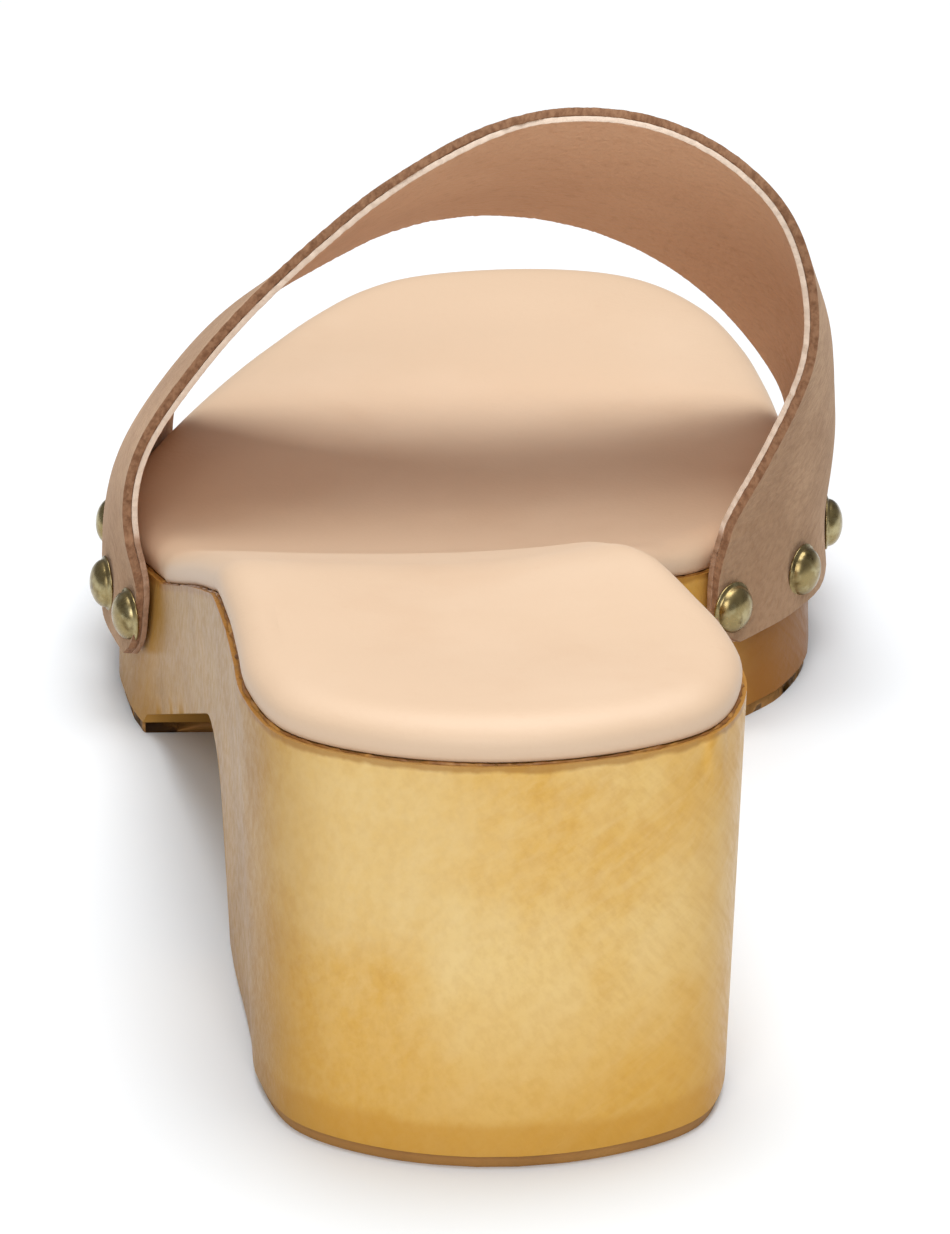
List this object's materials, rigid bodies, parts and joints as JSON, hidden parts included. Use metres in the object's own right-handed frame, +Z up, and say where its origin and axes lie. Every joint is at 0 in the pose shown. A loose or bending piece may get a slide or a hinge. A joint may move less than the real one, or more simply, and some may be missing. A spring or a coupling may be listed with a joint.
{
  "type": "wooden clog sandal with one wide suede strap, left foot",
  "caption": "Open clog mule: one-piece wooden heel and forefoot, padded leather insole, and one wide suede strap held to the wood by round-headed nails.",
  "frame": {"origin": "on the floor, under the middle of the whole shoe's bounding box", "axes": "+X towards the inner (medial) side of the foot, +Y from heel to toe, +Z up"},
  "size_m": [0.1102, 0.249, 0.0886],
  "materials": {
    "wood": "satin lacquer",
    "rubber": "matte",
    "insole_leather": "smooth, semi-matte",
    "suede": "brushed nap",
    "brass": "antiqued, polished"
  },
  "bodies": {
    "root": {"wood_base": "wood", "heel_rubber": "rubber", "forefoot_rubber": "rubber", "insole": "insole_leather", "strap": "suede", "nail_medial_1": "brass", "nail_medial_2": "brass", "nail_medial_3": "brass", "nail_medial_4": "brass", "nail_lateral_1": "brass", "nail_lateral_2": "brass", "nail_lateral_3": "brass", "nail_lateral_4": "brass"}
  },
  "joints": []
}
